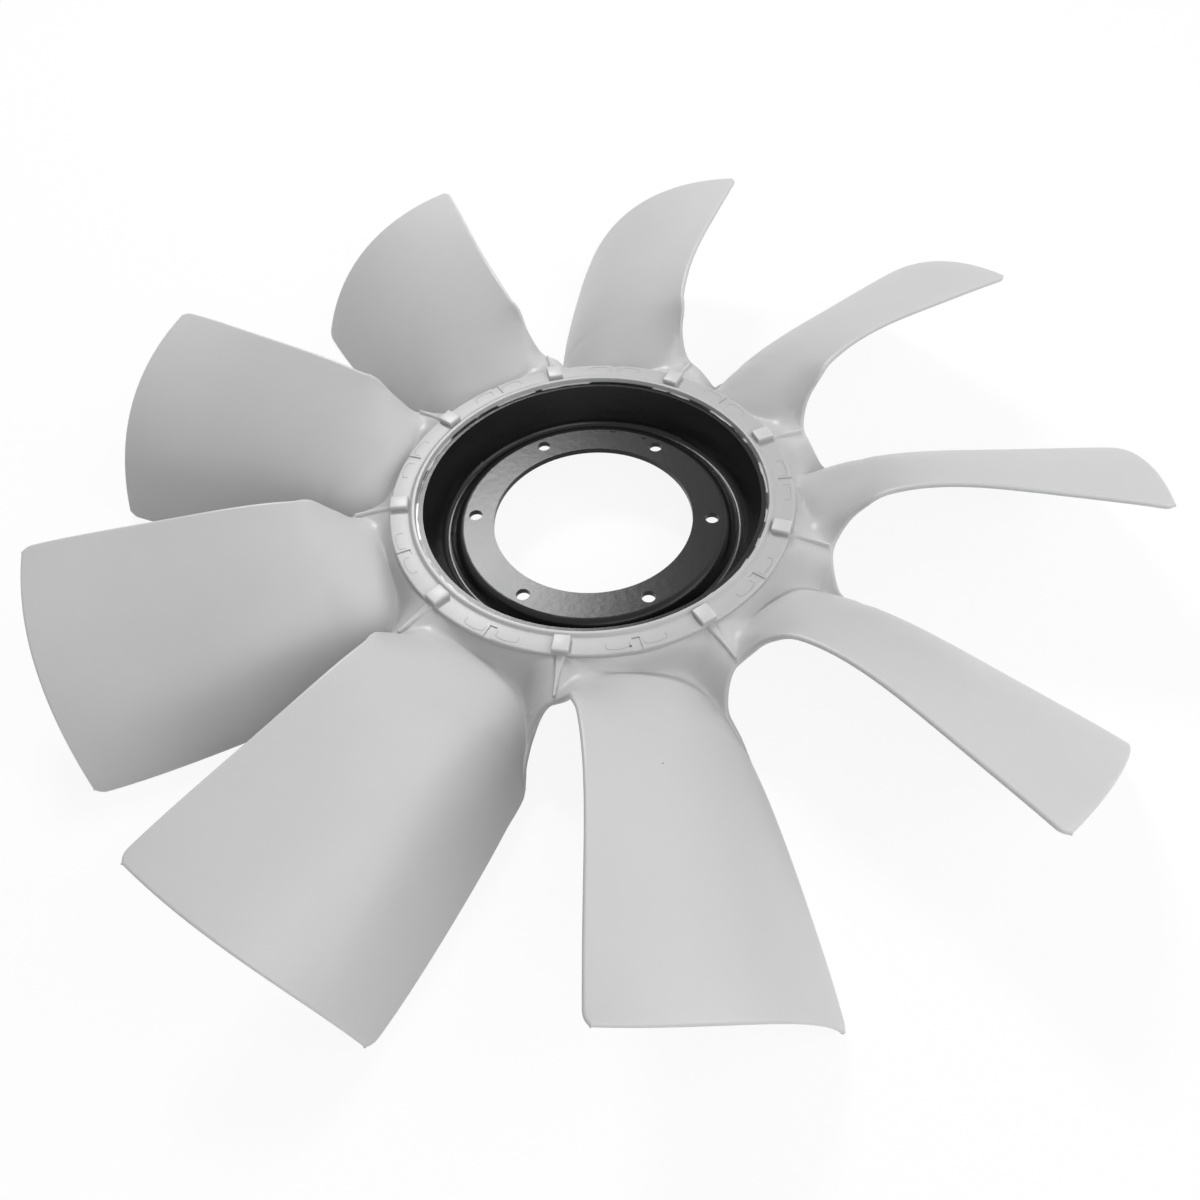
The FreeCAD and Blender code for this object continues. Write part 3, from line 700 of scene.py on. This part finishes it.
def makeWitnessLines():
    grids = []
    for sign in (-1, 1):
        turn = np.linspace(0, math.pi, witness["points"])
        middle = math.radians((witness["from"] + witness["to"]) / 2)
        reach = math.radians((witness["to"] - witness["from"]) / 2)
        # long oval: an arc out along the larger radius and back along the smaller one
        angle = sector / 2 + sign * (middle + reach * np.clip(witness["squareness"] * np.cos(turn), -1, 1))
        r = witness["radii"][0] + (witness["radii"][1] - witness["radii"][0]) * np.sin(turn) ** 0.5
        height = ring["landHeight"] + 0 * r
        grids.append(tube(np.stack([r * np.cos(angle), r * np.sin(angle), height], -1), witness["thick"]))
    return makePiece("nylon_witness_lines", around(grids, blade["count"]), nylon, 60)


witnessLines = makeWitnessLines()
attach(witnessLines, "root")

# rim band: a thin uneven ring laid on the edge of the steel's rim, carrying a painted highlight broken by
# black dashes
rimBand = {"inner": 114.5, "outer": 116.4, "height": 20.75, "under": 20.1, "waves": 0.26, "columns": 721}


# a flat section turned about the axis, its inner side moved by three sine waves of the angle
def makeRimBand():
    turn = np.linspace(0, 2 * math.pi, rimBand["columns"])[None, :]
    wave = rimBand["waves"] * (np.sin(23 * turn) + np.sin(37 * turn + 1) + np.sin(61 * turn + 2)) / 2
    low, high = rimBand["under"], rimBand["height"]
    profile = np.array([[1, low, 0], [0, low, 1], [0, high, 1], [1, high, 0], [1, low, 0]])[:, None, :]
    r = rimBand["inner"] + (rimBand["outer"] - rimBand["inner"]) * profile[..., 0] + wave * profile[..., 2]
    return makePiece("painted_highlight_rim", [np.stack([r * np.cos(turn), r * np.sin(turn),
                                               profile[..., 1] + 0 * turn], -1)], rimHighlight, 40)


rimBandPiece = makeRimBand()
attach(rimBandPiece, "root")
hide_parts("fan_moulding")
print("ring, tabs and ribs made")

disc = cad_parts["steel_insert"]
disc.data.materials.clear()
disc.data.materials.append(steel)

# camera: place, aim and lens from the fit to the photograph; turned with the model
camera = {"place": (0.0741612, -0.4947731, 0.5169394), "lens": 31.89, "sensor": 36.0, "turn": 12.55,
          "right": (0.99491594, 0.08769137, -0.0495226), "down": (0.03642008, -0.7717508, -0.63488131),
          "ahead": (-0.09389272, 0.62984992, -0.77102091)}


def makeCamera():
    data = bpy.data.cameras.new("photoCamera")
    data.lens = camera["lens"]
    data.sensor_width = camera["sensor"]
    turn = Matrix.Rotation(math.radians(camera["turn"]), 3, "Z")
    right, down, ahead = (turn @ Vector(camera[name]) for name in ("right", "down", "ahead"))
    view = Matrix((right, -down, -ahead)).transposed().to_4x4()
    view.translation = turn @ Vector(camera["place"])
    piece = bpy.data.objects.new("photoCamera", data)
    piece.matrix_world = view
    bpy.context.scene.collection.objects.link(piece)
    bpy.context.scene.camera = piece


makeCamera()

studio = {
    "ambient": 0.16,
    "floorSize": 12.0,
    "floorColour": (0.9, 0.9, 0.9, 1),
    "floorRoughness": 0.9,
    "floorGlow": 0.9,
    "white": (1, 1, 1, 1),
}

# soft boxes: place in metres, width and power
softboxes = {
    "softboxBackLeft": ((-0.807, 1.1966, 1.6604), 0.5, 27),
    "softboxBackRight": ((0.7778, 1.3472, 1.5556), 1.4, 3),
    "softboxRight": ((1.6597, 0.2926, 1.4141), 1.4, 17),
    "softboxFrontRight": ((1.0833, -1.291, 1.4141), 1.4, 19),
}


def addLamp(name, place, size, power):  # square lamp aimed at the middle of the fan
    data = bpy.data.lights.new(name, "AREA")
    data.shape = "SQUARE"
    data.size = size
    data.energy = power
    lamp = bpy.data.objects.new(name, data)
    lamp.location = place
    lamp.rotation_euler = (-Vector(place)).to_track_quat("-Z", "Y").to_euler()
    bpy.context.scene.collection.objects.link(lamp)


# 1 for rays from the camera, a mirror or through glass, 0 for the light that falls on things
def seenRays(tree):
    path = addNode(tree, "ShaderNodeLightPath")
    kinds = [Wire(tree, path.outputs[f"Is {kind} Ray"]) for kind in ("Camera", "Glossy", "Transmission")]
    total = kinds[0] + kinds[1] + kinds[2]
    return total.math("MINIMUM", total, 1.0)


def makeStudio():
    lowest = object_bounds()[0][2]
    half = studio["floorSize"] / 2
    floorMesh = bpy.data.meshes.new("floor")
    corners = [(-half, -half, lowest), (half, -half, lowest), (half, half, lowest), (-half, half, lowest)]
    floorMesh.from_pydata(corners, [], [(0, 1, 2, 3)])
    floor = bpy.data.objects.new("floor", floorMesh)
    bpy.context.scene.collection.objects.link(floor)
    material, tree, shader = newMaterial("paleFloor")
    shader.inputs["Base Color"].default_value = studio["floorColour"]
    shader.inputs["Roughness"].default_value = studio["floorRoughness"]
    glow = addNode(tree, "ShaderNodeEmission", {}, {"Color": studio["white"], "Strength": 1.0})
    mixed = addNode(tree, "ShaderNodeMixShader", {}, {0: seenRays(tree) * studio["floorGlow"]})
    tree.links.new(shader.outputs[0], mixed.inputs[1])
    tree.links.new(glow.outputs[0], mixed.inputs[2])
    output = next(n for n in tree.nodes if n.type == "OUTPUT_MATERIAL")
    tree.links.new(mixed.outputs[0], output.inputs[0])
    floorMesh.materials.append(material)

    world = bpy.data.worlds.new("studioWorld")
    world.use_nodes = True
    tree = world.node_tree
    back = next(n for n in tree.nodes if n.type == "BACKGROUND")
    link(tree, seenRays(tree) * (1 - studio["ambient"]) + studio["ambient"], back, "Strength")
    back.inputs["Color"].default_value = studio["white"]
    bpy.context.scene.world = world
    bpy.context.scene.view_settings.view_transform = "Standard"


makeStudio()
for lampName, (lampPlace, lampSize, lampPower) in softboxes.items():
    addLamp(lampName, lampPlace, lampSize, lampPower)
print("studio made")
